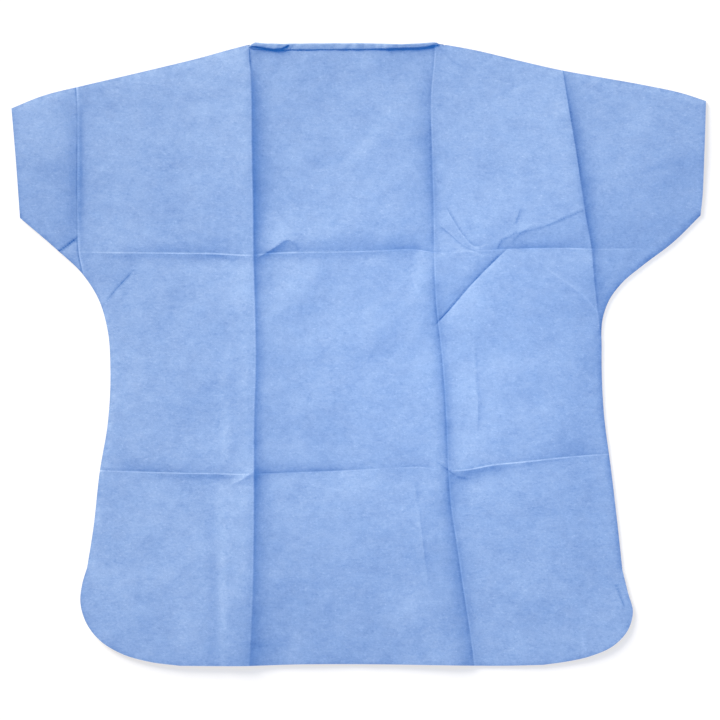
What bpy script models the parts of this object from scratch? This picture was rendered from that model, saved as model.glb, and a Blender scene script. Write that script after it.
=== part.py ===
"""Disposable scrub top, laid flat on a surface with its back side up.

The front panel lies below on its flat outer side and the back panel lies on it. Both are kimono
cut, with the sleeves in one piece with the body. A narrow binding runs along the straight back
neck, and another along the V of the front neck. Unfolding has left a grid of creases in the back.

X runs to the right and Y from the hem to the neck, as seen from above, and Z is up from the
surface. Sizes and places in this file are in millimetres, and the meshes are made in metres.
"""
import math
from collections import namedtuple

import bmesh
import bpy
import numpy as np
from mathutils import Vector
from mathutils.geometry import delaunay_2d_cdt

MM = 0.001

# Cloth. The loft is the space between the panels, and its most holds the ridges down so that they
# stay within 4 mm of each other.
WALL = 1.3
SEAM_GAP = 0.3
LOFT_INSIDE = 2.6
LOFT_REACH = 26.0
LOFT_AT_OPEN_EDGE = 1.5
LOFT_MOST = 3.7
OPEN_EDGE_REACH = 45.0
FRONT_INSET = 0.8

# Neck
NECK_LEFT = (-131.0, 371.5)
NECK_RIGHT = (95.3, 372.8)
V_POINT = (-17.7, 218.7)
BAND_WIDTH = 6.5
V_SAG = 0.9
V_SAG_REACH = 3.0

# Spacing of the points that the panels are built on. Flank points lie beside each crease.
EDGE_STEP = 12.0
STRAIGHT_EDGE_STEP = 20.0
CREST_STEP = 13.0
FLANK_OFFSETS = (5.5, 14.0)
FLANK_CLEARANCE = 0.62
GRID_STEP = 24.0
GRID_CLEARANCE = 0.55
FRONT_GRID_STEP = 70.0
BAND_STEP = 14.0
DRAWN_STEP = 4.0
CLOSEST_POINTS = 2.0

# What the triangulation is told: to keep only what is inside, and when two points are one
INSIDE_ONLY = 1
SAME_PLACE = 1e-4

# How much of a fold is left where the panel is sewn down, and how wide a fold's lip is
FOLD_AT_SEAM = 0.2
LIP_REACH = 1.5

# Finish
CLOTH_BLUE = (0.292, 0.450, 0.815)
BAND_BLUE = (0.250, 0.400, 0.760)
CLOTH_ROUGHNESS = 0.82
SHARP_ANGLE = math.radians(40)

Knot = namedtuple("Knot", "x y")
Run = namedtuple("Run", "name sewn knots")
Row = namedtuple("Row", "x y left right left_reach right_reach turn lip "
                 "shoulder shoulder_reach", defaults=(3.0, 0.0, 0.0, 3.0))
Fold = namedtuple("Fold", "name crest rows")

# The cut edge of the back, clockwise from the left end of the neck, corner to corner.
# Runs that are sewn join the front to the back, and the others are open.
OUTLINE = (
    Run("neck", False, (Knot(*NECK_LEFT), Knot(*NECK_RIGHT))),
    Run("right shoulder", True, (
        Knot(*NECK_RIGHT), Knot(138.5, 365.0), Knot(193.5, 351.9), Knot(240.5, 341.2),
        Knot(289.5, 332.3), Knot(344.9, 322.4), Knot(390.5, 312.4), Knot(416.6, 303.8))),
    Run("right sleeve opening", False, (
        Knot(416.6, 303.8), Knot(414.5, 240.0), Knot(412.0, 185.0), Knot(410.0, 166.5))),
    Run("right underarm and side", True, (
        Knot(410.0, 166.5), Knot(377.5, 134.6), Knot(339.8, 105.8), Knot(316.8, 86.6),
        Knot(301.0, 66.0), Knot(292.9, 44.0), Knot(291.4, 5.0), Knot(294.0, -70.0),
        Knot(302.8, -139.0), Knot(311.2, -211.0), Knot(316.3, -259.0))),
    Run("right tail", False, (
        Knot(316.3, -259.0), Knot(323.0, -286.0), Knot(328.8, -309.4), Knot(323.3, -330.0),
        Knot(307.0, -348.5), Knot(277.7, -362.2), Knot(250.0, -368.5), Knot(221.0, -372.6))),
    Run("hem", False, (
        Knot(221.0, -372.6), Knot(180.0, -373.6), Knot(90.0, -372.8), Knot(20.0, -371.9),
        Knot(-70.0, -372.0), Knot(-135.0, -373.8), Knot(-214.0, -373.6))),
    Run("left tail", False, (
        Knot(-214.0, -373.6), Knot(-250.0, -369.0), Knot(-287.0, -358.0), Knot(-310.7, -343.0),
        Knot(-325.8, -324.0), Knot(-333.9, -297.0), Knot(-331.8, -276.0),
        Knot(-325.9, -256.0))),
    Run("left side and underarm", True, (
        Knot(-325.9, -256.0), Knot(-318.7, -211.0), Knot(-310.5, -139.0), Knot(-301.4, -85.0),
        Knot(-297.9, -20.0), Knot(-301.3, 29.0), Knot(-311.7, 65.0), Knot(-331.3, 96.2),
        Knot(-362.2, 125.5), Knot(-406.3, 163.4))),
    Run("left sleeve opening", False, (
        Knot(-406.3, 163.4), Knot(-411.1, 230.6), Knot(-416.6, 295.0))),
    Run("left shoulder", True, (
        Knot(-416.6, 295.0), Knot(-381.1, 309.3), Knot(-329.5, 322.4), Knot(-284.0, 333.0),
        Knot(-238.3, 343.8), Knot(-190.5, 355.5), Knot(-155.5, 365.2), Knot(*NECK_LEFT))),
)

# Each fold runs from the hem to the neck, or from left to right. Left is its height over its left
# hand, above the cloth round it, which fades out over the left reach. The shoulder is how far it is
# down again at its own line. On its right hand it turns to the right height over the turn, and that
# fades out over the right reach. The lip is a low narrow ridge along the line itself.
FOLDS = (
    Fold("left sleeve crease", True, (
        Row(-329, 92, -0.8, -1.4, 5, 30, 5, 0.3),
        Row(-335, 120, -2.0, -3.2, 6, 40, 5, 0.5),
        Row(-336.6, 160, -3.8, -6.0, 7, 50, 5.5, 1.3),
        Row(-336.6, 190, -4.0, -6.4, 7, 50, 5.5, 1.5),
        Row(-336.6, 245, -3.2, -6.4, 7, 50, 7, 0.9),
        Row(-336.8, 293, -3.2, -5.4, 6, 45, 4.5, 0.9),
        Row(-339, 330, -1.8, -2.6, 7, 30, 4, 0.3))),
    Fold("left body crease", True, (
        Row(-132, -382, 3.6, -1.8, 90, 80, 20, 0.0, 0.8, 5),
        Row(-129.5, -343, 3.9, -1.8, 80, 80, 17, 0.0, 0.9, 5),
        Row(-126.7, -271, 3.7, -0.7, 70, 80, 9, 0.25, 1.0, 4),
        Row(-125.5, -187, 3.3, -0.5, 60, 60, 7, 0.2, 0.6, 3),
        Row(-125.5, -139, 2.9, -0.1, 50, 50, 6, 0.15, 0.4, 3),
        Row(-125.2, -79, 2.7, -0.3, 45, 80, 5, 0.1, 0.6, 4),
        Row(-124, -7, 3.1, -0.5, 45, 60, 6.5, 0.1, 0.7, 5),
        Row(-124.5, 65, 2.7, -0.1, 50, 50, 4.5, 0.15, 0.6, 4),
        Row(-126, 119, 2.8, 0.0, 40, 50, 5, 0.0, 0.5, 3),
        Row(-126.5, 173, 4.2, -1.0, 50, 60, 8, 0.0, 0.8, 2.5),
        Row(-128, 245, 5.0, -1.1, 60, 60, 9.5, 0.0, 1.1, 3),
        Row(-128.9, 317, 5.4, -1.1, 60, 60, 7.5, 0.0, 1.5, 3.5),
        Row(-130.5, 350, 4.6, -0.6, 60, 50, 7, 0.0, 1.2, 3.5),
        Row(-131.5, 380, 2.6, 0.0, 40, 40, 7, 0.0, 0.6, 3.5))),
    Fold("right body crease", True, (
        Row(139, -382, -2.2, -4.4, 7, 70, 8, 0.0),
        Row(132.5, -343, -3.0, -5.4, 7.5, 70, 6, 0.0),
        Row(121, -271, -2.5, -5.5, 6, 70, 7, 0.0),
        Row(115, -223, -2.0, -3.9, 5.5, 70, 5, 0.0),
        Row(110.4, -187, -1.9, -3.1, 5, 60, 3.6, 0.0),
        Row(107, -139, -1.9, -3.0, 5.5, 60, 4.5, 0.0),
        Row(105.4, -79, -2.5, -4.8, 4.8, 50, 4.3, 0.0),
        Row(99.8, -7, -2.8, -5.3, 7, 60, 5.5, 0.0),
        Row(91.7, 65, -1.6, -3.7, 4, 60, 5, 0.0),
        Row(89.5, 122, -1.1, -1.5, 5, 50, 4, 0.0),
        Row(89, 173, -1.7, -4.2, 4.5, 60, 6.5, 0.0),
        Row(87, 245, -2.8, -3.6, 7.5, 90, 2.4, 0.0),
        Row(86.4, 317, -2.8, -3.6, 12, 100, 3.5, 0.0),
        Row(90, 355, -1.8, -2.2, 10, 80, 3, 0.0),
        Row(91, 380, -1.2, -1.4, 8, 80, 3, 0.0))),
    Fold("right sleeve crease", True, (
        Row(290, 30, 0.9, 0.0, 30, 30, 4.5, 0.0),
        Row(284, 80, 1.4, 0.0, 40, 30, 4, 0.0, 0.3, 2.5),
        Row(277.5, 137, 1.9, 0.0, 50, 30, 4, 0.0, 0.4, 2.5),
        Row(272.7, 161, 3.4, -0.5, 70, 60, 6, 0.0, 0.9, 3),
        Row(268.7, 185, 4.4, -1.0, 80, 60, 8, 0.0, 1.2, 3),
        Row(258.7, 245, 5.6, -1.8, 80, 60, 7, 0.0, 1.9, 4),
        Row(251.2, 293, 4.6, -1.3, 70, 60, 4.7, 0.0, 1.7, 3.5),
        Row(243.2, 345, 2.0, 0.0, 50, 40, 4.5, 0.0, 0.6, 3.5))),
    Fold("upper crease", True, (
        Row(-340, 121, 0.1, -0.4, 20, 30, 6, 0.2),
        Row(-298, 120, 0.0, -0.9, 20, 40, 8, 0.5),
        Row(-274, 119.8, -1.0, -2.4, 6, 50, 7, 0.8),
        Row(-214, 119.1, -1.6, -3.6, 7, 50, 8, 0.85),
        Row(-166, 118.3, -1.4, -3.7, 9, 45, 5, 0.8),
        Row(-145, 117, -0.6, -2.8, 7, 40, 5, 0.4),
        Row(-127, 116.8, 0.0, -0.6, 7, 30, 5, 0.0),
        Row(-106, 118.9, -1.6, -2.2, 8, 40, 5, 0.2),
        Row(-82, 119.5, -1.3, -2.2, 7, 50, 6, 0.55),
        Row(-46, 119.8, -0.3, -0.4, 6, 40, 4, 0.5),
        Row(-10, 120.8, -0.4, -0.6, 5, 40, 4, 0.5),
        Row(25, 122, -0.9, -1.2, 3.5, 50, 4, 0.7),
        Row(70, 122.9, -1.5, -1.8, 5, 50, 6, 0.5),
        Row(90, 119.9, -0.6, -0.4, 5, 30, 5, 0.0),
        Row(128, 120.9, 0.1, 0.0, 7, 30, 5, 0.25),
        Row(165, 123, -1.0, -0.9, 6, 25, 5, 0.35),
        Row(205, 124.6, -2.2, -2.1, 6, 25, 4, 0.5),
        Row(253, 124.8, -1.4, -1.9, 5, 25, 5, 0.75),
        Row(280, 124, -0.7, -0.7, 6, 25, 5, 0.35),
        Row(338, 124.4, -0.2, -0.2, 6, 25, 5, 0.15))),
    Fold("lower crease", True, (
        Row(-318, -141.4, -1.2, -1.4, 9, 40, 4, 0.2),
        Row(-274, -142.8, -2.2, -3.0, 7, 50, 6, 0.6),
        Row(-214, -144.6, -1.0, -2.8, 6, 50, 7, 0.7),
        Row(-166, -145.2, -0.9, -3.2, 7, 45, 6, 0.6),
        Row(-145, -145.8, -0.6, -2.1, 7, 40, 6, 0.3),
        Row(-126, -145.8, 0.0, -0.4, 7, 30, 5, 0.0),
        Row(-106, -145.3, -2.0, -2.2, 7, 40, 5, 0.1),
        Row(-82, -144, -2.5, -2.7, 6.5, 45, 3, 0.25),
        Row(-34, -142, -2.3, -2.5, 6.5, 50, 3, 0.25),
        Row(26, -139.6, -0.5, -0.5, 5, 40, 4, 0.3),
        Row(74, -137.6, -1.2, -1.3, 6.5, 40, 5, 0.25),
        Row(107, -141.4, 0.0, 0.0, 7, 30, 5, 0.0),
        Row(128, -140.6, 0.3, -2.6, 30, 50, 7, 0.1),
        Row(158, -136.6, 0.1, -2.2, 20, 50, 8, 0.4),
        Row(194, -132.7, -0.6, -1.4, 7, 50, 7, 0.7),
        Row(265, -124.2, -1.9, -2.1, 7, 50, 4, 0.6),
        Row(308, -121.4, -1.1, -1.1, 8, 40, 4, 0.2))),
    Fold("slanted pull", True, (
        Row(92, 36, -0.2, -0.2, 5, 6, 6, 0.0),
        Row(108, 53, -1.7, -1.7, 6, 9, 6, 0.0),
        Row(133.7, 83, -1.9, -1.9, 6, 10, 6, 0.0),
        Row(160, 110, -1.6, -1.6, 6, 8, 6, 0.0),
        Row(178, 127, -0.2, -0.2, 5, 6, 6, 0.0))),
    Fold("swell over the upper crease", False, (
        Row(-112, 128, 0.2, 0.2, 14, 10, 1, 0.0),
        Row(-85, 139, 0.9, 0.9, 24, 12, 1, 0.0),
        Row(-45, 154, 1.2, 1.2, 34, 22, 1, 0.0),
        Row(0, 166, 1.2, 1.2, 38, 34, 1, 0.0),
        Row(50, 164, 1.0, 1.0, 36, 34, 1, 0.0),
        Row(84, 158, 0.4, 0.4, 28, 26, 1, 0.0))),
    Fold("swell under the upper crease", False, (
        Row(-108, 30, 0.1, 0.1, 20, 16, 1, 0.0),
        Row(-92, 46, 0.9, 0.9, 24, 18, 1, 0.0),
        Row(-72, 68, 1.2, 1.2, 24, 18, 1, 0.0),
        Row(-58, 92, 1.0, 1.0, 22, 18, 1, 0.0),
        Row(-50, 112, 0.2, 0.2, 16, 14, 1, 0.0))),
    Fold("left sleeve swell", False, (
        Row(-382, 60, 0.0, 0.0, 30, 40),
        Row(-372, 130, 1.2, 1.2, 40, 42),
        Row(-372, 190, 2.3, 2.3, 45, 45),
        Row(-374, 250, 2.3, 2.3, 45, 45),
        Row(-378, 310, 1.0, 1.0, 40, 40))),
    Fold("lower middle swell", False, (
        Row(80, -150, 0.0, 0.0, 60, 34),
        Row(86, -240, 0.9, 0.9, 60, 40),
        Row(92, -330, 1.6, 1.6, 60, 46),
        Row(96, -382, 1.4, 1.4, 60, 46))),
)

# Lengthwise sections of the back neck binding: x, how far its edge stands above the neck line,
# how far it is lifted, and its thickness over the panel's. The left end lies doubled and puckered.
BandSection = namedtuple("BandSection", "x over lift extra")
BAND_SECTIONS = (
    BandSection(-131.0, -1.0, 0.0, 0.2),
    BandSection(-127.5, 1.0, 0.4, 0.9),
    BandSection(-122.5, 2.05, 0.9, 1.3),
    BandSection(-115.0, 1.2, 0.9, 1.2),
    BandSection(-104.0, 0.7, 0.6, 1.1),
    BandSection(-93.0, 0.5, 0.4, 0.9),
    BandSection(-84.0, 0.2, 0.2, 0.7),
    BandSection(-20.0, 0.0, 0.2, 0.7),
    BandSection(60.0, 0.0, 0.2, 0.7),
    BandSection(88.0, 0.4, 0.2, 0.8),
    BandSection(95.3, 0.2, 0.0, 0.3),
)

# The binding's flat oval section, as shares of its width and thickness
BAND_RING = ((0.0, 0.25), (0.0, 0.75), (0.18, 1.0), (0.82, 1.0), (1.0, 0.7), (1.0, 0.3),
             (0.82, 0.0), (0.18, 0.0))


def clear_scene():
    """Remove every object, so that only the garment is in the scene."""
    for thing in list(bpy.data.objects):
        bpy.data.objects.remove(thing, do_unlink=True)


def make_material(name, colour, roughness):
    """A plain Principled material."""
    material = bpy.data.materials.new(name)
    material.use_nodes = True
    shader = material.node_tree.nodes["Principled BSDF"]
    shader.inputs["Base Color"].default_value = (*colour, 1.0)
    shader.inputs["Roughness"].default_value = roughness
    shader.inputs["Metallic"].default_value = 0.0
    return material


def curve_through(rows, step):
    """A smooth curve through the first two columns, with the other columns carried along it."""
    rows = np.asarray(rows, dtype=float)
    chords = np.linalg.norm(np.diff(rows[:, :2], axis=0), axis=1)
    stations = np.concatenate([[0.0], np.cumsum(chords)])
    slopes = np.gradient(rows[:, :2], stations, axis=0)
    drawn = []
    for index, chord in enumerate(chords):
        pieces = max(1, round(chord / step))
        t = (np.arange(pieces + (index == len(chords) - 1)) / pieces)[:, None]
        ends = rows[index, :2], rows[index + 1, :2]
        leads = slopes[index] * chord, slopes[index + 1] * chord
        place = ((2 * t**3 - 3 * t**2 + 1) * ends[0] + (t**3 - 2 * t**2 + t) * leads[0]
                 + (3 * t**2 - 2 * t**3) * ends[1] + (t**3 - t**2) * leads[1])
        carried = (1 - t) * rows[index, 2:] + t * rows[index + 1, 2:]
        drawn.append(np.hstack([place, carried]))
    return np.vstack(drawn)


def nearest_on(path, points):
    """For each point: its distance to the path, which side it is on, and the path's columns there.

    The side is above zero on the left hand as the path runs.
    """
    start = path[:-1, :2]
    run = np.diff(path[:, :2], axis=0)
    offset = points[:, None, :] - start[None, :, :]
    along = np.clip((offset * run).sum(axis=2) / (run**2).sum(axis=1), 0.0, 1.0)
    gap = offset - along[:, :, None] * run
    distance = np.linalg.norm(gap, axis=2)
    closest = distance.argmin(axis=1)
    pick = np.arange(len(points)), closest
    side = run[closest, 0] * gap[pick][:, 1] - run[closest, 1] * gap[pick][:, 0]
    share = along[pick][:, None]
    columns = (1 - share) * path[closest, 2:] + share * path[closest + 1, 2:]
    return distance[pick], side, columns


def fold_height(fold, points):
    """How far a fold lifts or lowers the cloth at each point."""
    distance, side, columns = nearest_on(curve_through(fold.rows, DRAWN_STEP), points)
    left, right, left_reach, right_reach, turn, lip, shoulder, shoulder_reach = columns.T
    if fold.crest:
        on_left = left * np.exp(-distance / left_reach)
        on_left -= shoulder * np.exp(-distance / shoulder_reach)
        step = (left - shoulder - right) * np.exp(-distance / turn)
        on_right = right * np.exp(-distance / right_reach) + step
    else:
        on_left = left * np.exp(-(distance / left_reach)**2)
        on_right = right * np.exp(-(distance / right_reach)**2)
    return np.where(side > 0.0, on_left, on_right) + lip * np.exp(-(distance / LIP_REACH)**2)


def outline_runs(sewn):
    """The runs of the outline that are sewn, or those that are open, as lists of points."""
    return [curve_through(run.knots, EDGE_STEP) for run in OUTLINE if run.sewn == sewn]


def closed_outline():
    """The whole outline as one loop of points, with each corner once."""
    runs = []
    for run in OUTLINE:
        step = STRAIGHT_EDGE_STEP if len(run.knots) == 2 else EDGE_STEP
        runs.append(curve_through(run.knots, step)[:-1])
    return np.vstack(runs)


def inside_v(points):
    """How deep each point lies inside the V of the front neck, below zero outside it."""
    depths = []
    for corner, hand in ((NECK_LEFT, 1.0), (NECK_RIGHT, -1.0)):
        run = np.subtract(corner, V_POINT)
        gap = points - np.array(V_POINT)
        depths.append(-hand * (run[0] * gap[:, 1] - run[1] * gap[:, 0]) / np.linalg.norm(run))
    return np.minimum(*depths)


def loft(points):
    """The space under the back panel: none at the seams, more inside, a little at open edges."""
    to_seam, to_open = (np.min([nearest_on(run, points)[0] for run in outline_runs(sewn)], axis=0)
                        for sewn in (True, False))
    free = 1.0 - np.exp(-to_seam / LOFT_REACH)
    drop = (LOFT_INSIDE - LOFT_AT_OPEN_EDGE) * np.exp(-to_open / OPEN_EDGE_REACH)
    sag = V_SAG / (1.0 + np.exp(-inside_v(points) / V_SAG_REACH))
    return free, free * (LOFT_INSIDE - drop - sag)


def back_underside(points):
    """Height of the back panel's lower side above the surface."""
    free, space = loft(points)
    folds = sum(fold_height(fold, points) for fold in FOLDS)
    share = FOLD_AT_SEAM + (1.0 - FOLD_AT_SEAM) * free
    return WALL + SEAM_GAP + np.clip(space + folds * share, 0.0, LOFT_MOST)


def spaced(points, kept, gap):
    """Those points that lie at least the gap from every kept point and from each other."""
    kept = list(kept)
    added = []
    for point in points:
        if np.min(np.linalg.norm(np.array(kept) - point, axis=1)) >= gap:
            kept.append(point)
            added.append(point)
    return added


def flanks(path, offset):
    """Points beside a path on both sides, halfway between its own points."""
    middle = (path[:-1, :2] + path[1:, :2]) / 2
    run = np.diff(path[:, :2], axis=0)
    normal = np.column_stack([-run[:, 1], run[:, 0]]) / np.linalg.norm(run, axis=1)[:, None]
    return np.vstack([middle + offset * normal, middle - offset * normal])


def grid(loop, step):
    """A field of points in staggered rows over the box round a loop."""
    low = loop.min(axis=0)
    high = loop.max(axis=0)
    row_step = step * math.sqrt(3) / 2
    rows = []
    for index, y in enumerate(np.arange(low[1] + step / 2, high[1], row_step)):
        first = low[0] + step / 2 * (1 + index % 2)
        rows.append([(x, y) for x in np.arange(first, high[0], step)])
    return np.vstack(rows)


def triangles_inside(loop, lines, loose):
    """Triangles that fill a loop, with edges along the lines and corners at the loose points."""
    coords = [Vector(point) for point in loop]
    face = list(range(len(coords)))
    edges = []
    for line in lines:
        first = len(coords)
        coords += [Vector(point[:2]) for point in line]
        edges += [(index, index + 1) for index in range(first, len(coords) - 1)]
    coords += [Vector(point) for point in loose]
    places, _, faces, *_ = delaunay_2d_cdt(coords, edges, [face], INSIDE_ONLY, SAME_PLACE)
    field = bmesh.new()
    corners = [field.verts.new((*place, 0.0)) for place in places]
    for chosen in faces:
        field.faces.new([corners[index] for index in chosen])
    bmesh.ops.delete(field, geom=[vert for vert in field.verts if not vert.link_faces])
    bmesh.ops.remove_doubles(field, verts=field.verts, dist=CLOSEST_POINTS)
    field.verts.index_update()
    places = np.array([vert.co[:2] for vert in field.verts])
    faces = [tuple(vert.index for vert in chosen.verts) for chosen in field.faces]
    field.free()
    return places, faces


def open_edges(faces):
    """The edges that only one face uses, in that face's order."""
    edges = set()
    for corners in faces:
        for edge in zip(corners, corners[1:] + corners[:1]):
            if edge[::-1] in edges:
                edges.remove(edge[::-1])
            else:
                edges.add(edge)
    return sorted(edges)


def add_piece(name, points, faces, material):
    """One object of the scene, from points in millimetres."""
    mesh = bpy.data.meshes.new(name)
    mesh.from_pydata([Vector(point) * MM for point in points], [], faces)
    mesh.materials.append(material)
    mesh.shade_smooth()
    mesh.set_sharp_from_angle(angle=SHARP_ANGLE)
    bpy.context.collection.objects.link(bpy.data.objects.new(name, mesh))


def add_walled(name, places, faces, under, material):
    """A closed solid, one wall thick, over a field of triangles whose lower side is given."""
    count = len(places)
    points = [(*place, z + WALL) for place, z in zip(places, under)]
    points += [(*place, z) for place, z in zip(places, under)]
    polygons = faces + [tuple(index + count for index in reversed(corners)) for corners in faces]
    for first, second in open_edges(faces):
        polygons.append((second, first, first + count))
        polygons.append((second, first + count, second + count))
    add_piece(name, points, polygons, material)


def meeting_point(start, run, other_start, other_run):
    """Where two straight lines cross."""
    share = np.linalg.solve(np.column_stack([run, -other_run]), other_start - start)[0]
    return start + share * run


def v_line(offset):
    """The V of the front neck moved outward: its left end on the shoulder, point and right end."""
    point = np.array(V_POINT)
    arms = []
    ends = []
    for hand, shoulder in ((1.0, OUTLINE[-1].knots[::-1]), (-1.0, OUTLINE[1].knots)):
        corner, next_knot = (np.array(knot) for knot in shoulder[:2])
        run = (corner - point) / np.linalg.norm(corner - point)
        start = point + offset * hand * np.array([-run[1], run[0]])
        arms.append((start, run))
        ends.append(meeting_point(start, run, corner, next_knot - corner))
    return np.array([ends[0], meeting_point(*arms[0], *arms[1]), ends[1]])


def inset(loop, distance):
    """A clockwise loop moved inward by a small distance."""
    run = np.roll(loop, -1, axis=0) - np.roll(loop, 1, axis=0)
    inward = np.column_stack([run[:, 1], -run[:, 0]]) / np.linalg.norm(run, axis=1)[:, None]
    return loop + distance * inward


def build_back(material):
    """The back panel, with its neck edge held back for the binding."""
    loop = closed_outline()
    at_neck = loop[:, 1] > min(NECK_LEFT[1], NECK_RIGHT[1]) - SEAM_GAP
    loop[at_neck, 1] -= BAND_WIDTH + SEAM_GAP
    crests = [curve_through(fold.rows, CREST_STEP)[:, :2] for fold in FOLDS if fold.crest]
    loose = []
    for offset in FLANK_OFFSETS:
        beside = np.vstack([flanks(crest, offset) for crest in crests])
        loose += spaced(beside, np.vstack([loop, *crests, *loose]), offset * FLANK_CLEARANCE)
    field = grid(loop, GRID_STEP)
    loose += spaced(field, np.vstack([loop, *crests, *loose]), GRID_STEP * GRID_CLEARANCE)
    places, faces = triangles_inside(loop, crests, loose)
    add_walled("back_panel", places, faces, back_underside(places), material)


def build_front(material):
    """The front panel, flat on the surface, cut out to a V at the neck."""
    loop = closed_outline()
    at_neck = loop[:, 1] > min(NECK_LEFT[1], NECK_RIGHT[1]) - SEAM_GAP
    left, point, right = v_line(BAND_WIDTH + SEAM_GAP) - (0.0, FRONT_INSET)
    loop = np.vstack([curve_through([left, point], STRAIGHT_EDGE_STEP)[:-1],
                      curve_through([point, right], STRAIGHT_EDGE_STEP),
                      inset(loop, FRONT_INSET)[~at_neck]])
    loose = spaced(grid(loop, FRONT_GRID_STEP), loop, FRONT_GRID_STEP * GRID_CLEARANCE)
    places, faces = triangles_inside(loop, [], loose)
    add_walled("front_panel", places, faces, np.zeros(len(places)), material)


def build_front_band(material):
    """The binding along the V, flat on the surface and mitred at its point."""
    inner = v_line(0.0)
    outer = v_line(BAND_WIDTH)
    count = round(np.linalg.norm(inner[1] - inner[0]) / BAND_STEP)
    shares = np.linspace(0.0, 2.0, 2 * count + 1)
    sides = [np.column_stack([np.interp(shares, (0, 1, 2), line[:, axis]) for axis in (0, 1)])
             for line in (inner, outer)]
    size = len(shares)
    faces = []
    for index in range(size - 1):
        faces.append((index, size + index, size + index + 1))
        faces.append((index, size + index + 1, index + 1))
    add_walled("neck_band_front", np.vstack(sides), faces, np.zeros(2 * size), material)


def build_back_band(material):
    """The binding along the back neck, a flat oval section drawn along the neck edge."""
    rows = curve_through([(row.x, 0.0, *row[1:]) for row in BAND_SECTIONS], BAND_STEP)
    x, _, over, lift, extra = rows.T
    share = (x - NECK_LEFT[0]) / (NECK_RIGHT[0] - NECK_LEFT[0])
    neck = NECK_LEFT[1] + share * (NECK_RIGHT[1] - NECK_LEFT[1])
    low = neck - BAND_WIDTH
    under = back_underside(np.column_stack([x, low])) + lift
    points = []
    for section in zip(x, low, BAND_WIDTH + over, under, WALL + extra):
        place, edge, width, z, thick = section
        points += [(place, edge + width * u, z + thick * v) for u, v in BAND_RING]
    size = len(BAND_RING)
    faces = [tuple(range(size)), tuple(reversed(range(len(points) - size, len(points))))]
    for start in range(0, len(points) - size, size):
        for index in range(size):
            here = start + index
            beside = start + (index + 1) % size
            faces.append((here, here + size, beside + size, beside))
    add_piece("neck_band_back", points, faces, material)


def main():
    """Build the garment from the surface upward."""
    clear_scene()
    cloth = make_material("blue nonwoven cloth", CLOTH_BLUE, CLOTH_ROUGHNESS)
    binding = make_material("blue nonwoven binding", BAND_BLUE, CLOTH_ROUGHNESS)
    build_front(cloth)
    build_front_band(binding)
    build_back(cloth)
    build_back_band(binding)


main()
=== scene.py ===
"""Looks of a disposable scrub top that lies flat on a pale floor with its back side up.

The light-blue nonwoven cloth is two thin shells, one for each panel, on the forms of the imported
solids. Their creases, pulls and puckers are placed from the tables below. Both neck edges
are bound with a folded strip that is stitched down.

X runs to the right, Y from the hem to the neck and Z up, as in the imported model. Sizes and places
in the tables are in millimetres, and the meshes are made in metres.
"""
import math
from collections import namedtuple

import bmesh
import bpy
import numpy as np
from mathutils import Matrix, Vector
from mathutils.geometry import delaunay_2d_cdt
from mathutils.kdtree import KDTree


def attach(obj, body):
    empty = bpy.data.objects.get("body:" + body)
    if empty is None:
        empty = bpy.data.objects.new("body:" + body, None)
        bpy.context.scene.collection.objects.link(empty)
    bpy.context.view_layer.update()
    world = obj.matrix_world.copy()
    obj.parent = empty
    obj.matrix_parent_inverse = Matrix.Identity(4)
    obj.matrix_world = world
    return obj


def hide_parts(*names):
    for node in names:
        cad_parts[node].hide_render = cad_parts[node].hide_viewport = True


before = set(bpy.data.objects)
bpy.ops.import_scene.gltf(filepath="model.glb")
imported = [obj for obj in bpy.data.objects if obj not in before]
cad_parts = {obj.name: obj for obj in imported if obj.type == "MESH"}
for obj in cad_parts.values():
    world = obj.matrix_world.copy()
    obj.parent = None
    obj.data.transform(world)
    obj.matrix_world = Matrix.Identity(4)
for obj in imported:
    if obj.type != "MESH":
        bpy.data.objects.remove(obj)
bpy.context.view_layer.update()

MM = 0.001
BODY = "root"

# The picture's frame: its width in millimetres, and where its middle lies
PICTURE_SIDE = 864.0
PICTURE_MIDDLE = (1.5, -6.9)

# Cloth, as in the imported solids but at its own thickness
CLOTH = 0.5
PLY_GAP = 0.12
SEAM_STACK = 1.0
LOFT_INSIDE = 5.0
LOFT_REACH = 54.0
LOFT_AT_OPEN_EDGE = 2.3
OPEN_EDGE_REACH = 75.0
SEAM_ROLL = 2.6
SEAM_ROLL_DROP = 0.55
FRONT_INSET = 0.8
FRONT_EDGE_SHARE = 0.4
FRONT_FOLD_SHARE = 0.55
FRONT_V_RISE = 0.45
FRONT_V_REACH = 8.0
FOLD_AT_SEAM = 0.5
EDGE_WAVE_REACH = 22.0
PUCKER_REACH = 7.0

# Neck
NECK_LEFT = (-131.0, 371.5)
NECK_RIGHT = (95.3, 372.8)
V_POINT = (-17.7, 218.7)
NECK_SLACK = 0.3
BAND_WIDTH = 6.5
BAND_COVERS = 0.6
V_SAG = 0.6
V_SAG_REACH = 3.0
CORNER_BULK = 0.9
CORNER_BULK_REACH = 11.0

# Spacing of the points that the panels are built on. Flank points lie beside each crease. A gap is
# the share of its own spacing that a point keeps off the others.
PanelMesh = namedtuple("PanelMesh", "edge_step crest_step flanks grid_step has_lines")
BACK_MESH = PanelMesh(3.2, 3.0, (0.7, 1.7, 3.2, 5.4), 4.9, True)
FRONT_MESH = PanelMesh(4.5, 5.0, (1.2, 3.5, 7.0), 8.5, False)
FLANK_GAP = 0.62
GRID_GAP = 0.6
GRID_SHIFT = 0.2
GRID_SEED = 41
CLOSEST_POINTS = 0.45
DRAWN_STEP = 4.0

# What the triangulation is told: to keep only what is inside, and when two points are one
INSIDE_ONLY = 1
SAME_PLACE = 1e-4

Run = namedtuple("Run", "name sewn knots")
Row = namedtuple("Row", "x y left right left_reach right_reach turn lip "
                 "shoulder shoulder_reach", defaults=(3.0, 0.0, 0.0, 3.0))
# A thin line of painted shade beside a crease, or of painted highlight where dark is below zero
Line = namedtuple("Line", "side dark")
Fold = namedtuple("Fold", "name rows lines crest", defaults=((), True))


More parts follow.
